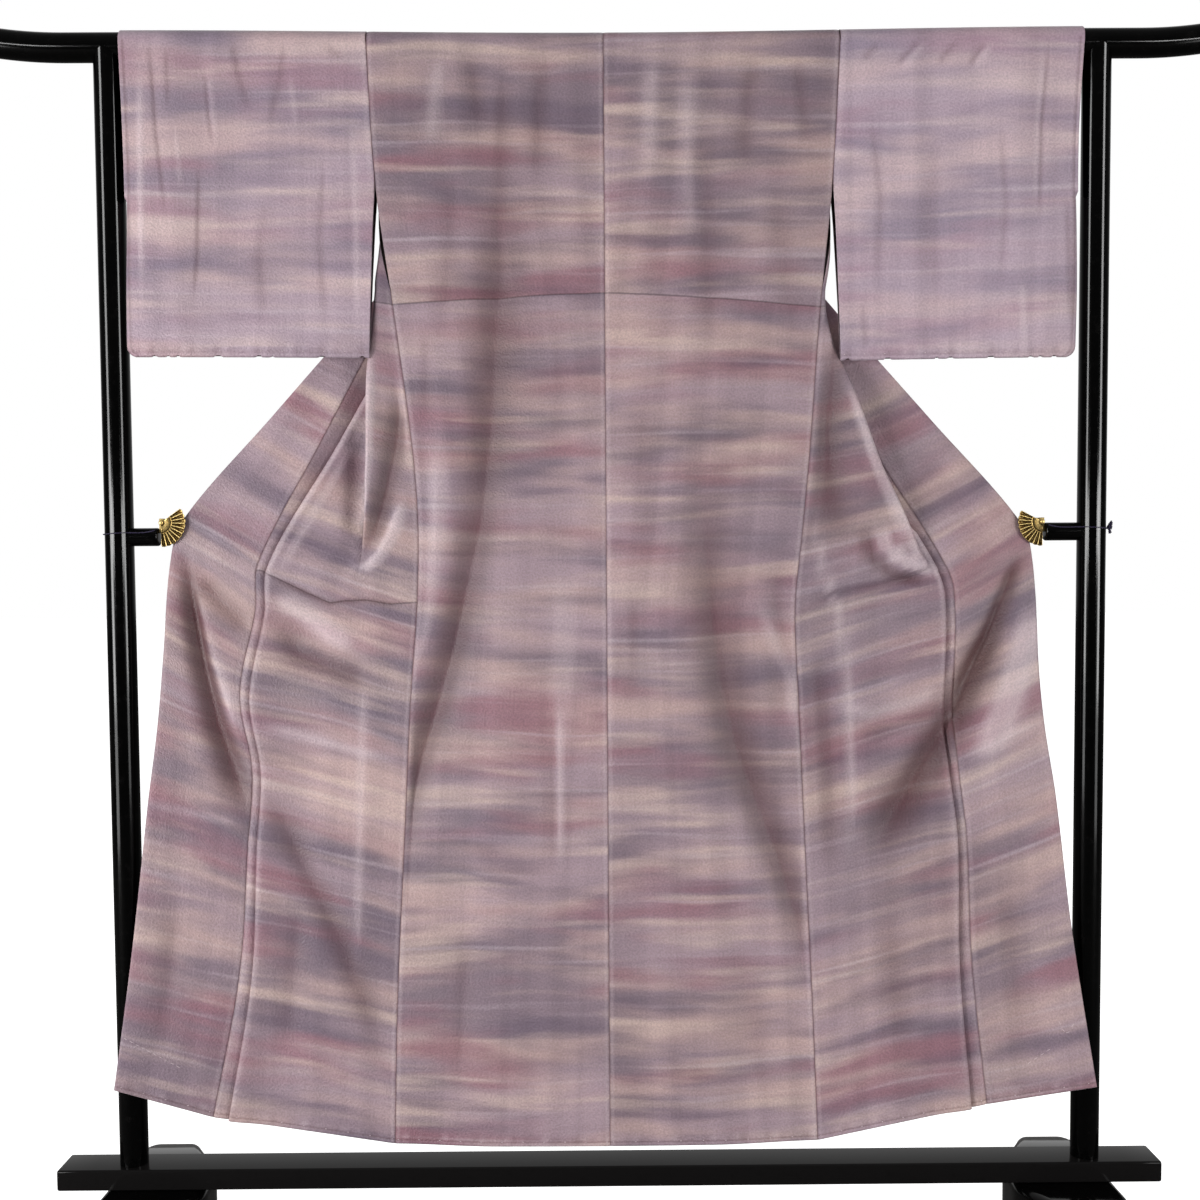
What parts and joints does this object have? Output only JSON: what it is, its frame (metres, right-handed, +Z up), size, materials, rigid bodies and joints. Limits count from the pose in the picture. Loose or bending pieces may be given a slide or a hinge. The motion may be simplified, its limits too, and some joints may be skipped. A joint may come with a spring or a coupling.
{
  "type": "silk kimono on a kimono stand",
  "caption": "Lined silk kimono hung by its shoulders over the rail of a black lacquered stand, back towards the viewer, fronts spread and held by fan clips.",
  "frame": {"origin": "on the floor, centred between the two feet, under the rail", "axes": "+Z up, X along the rail with +X to the wearer's right, +Y from the back of the kimono to its spread fronts, so the back faces -Y"},
  "size_m": [1.8402, 0.412, 1.7089],
  "materials": {
    "crepe_silk": "silk crepe with a satin sheen, hazy mauve, dusty rose and lavender streaks along the weft, dark brown lining",
    "black_lacquer": "polished black lacquer on wood",
    "gilt_brass": "gilt, satin",
    "purple_cord": "twisted dark purple cord"
  },
  "bodies": {
    "root": {"rail": "black_lacquer", "post_left": "black_lacquer", "post_right": "black_lacquer", "peg_left": "black_lacquer", "peg_right": "black_lacquer", "beam": "black_lacquer", "foot_left": "black_lacquer", "foot_right": "black_lacquer", "fan_left": "gilt_brass", "fan_right": "gilt_brass", "jaw_left": "gilt_brass", "jaw_right": "gilt_brass", "tie_left": "purple_cord", "tie_right": "purple_cord", "body_left": "crepe_silk", "body_right": "crepe_silk", "sleeve_left": "crepe_silk", "sleeve_right": "crepe_silk", "okumi_left": "crepe_silk", "okumi_right": "crepe_silk", "collar": "crepe_silk", "over_collar": "crepe_silk"}
  },
  "joints": []
}
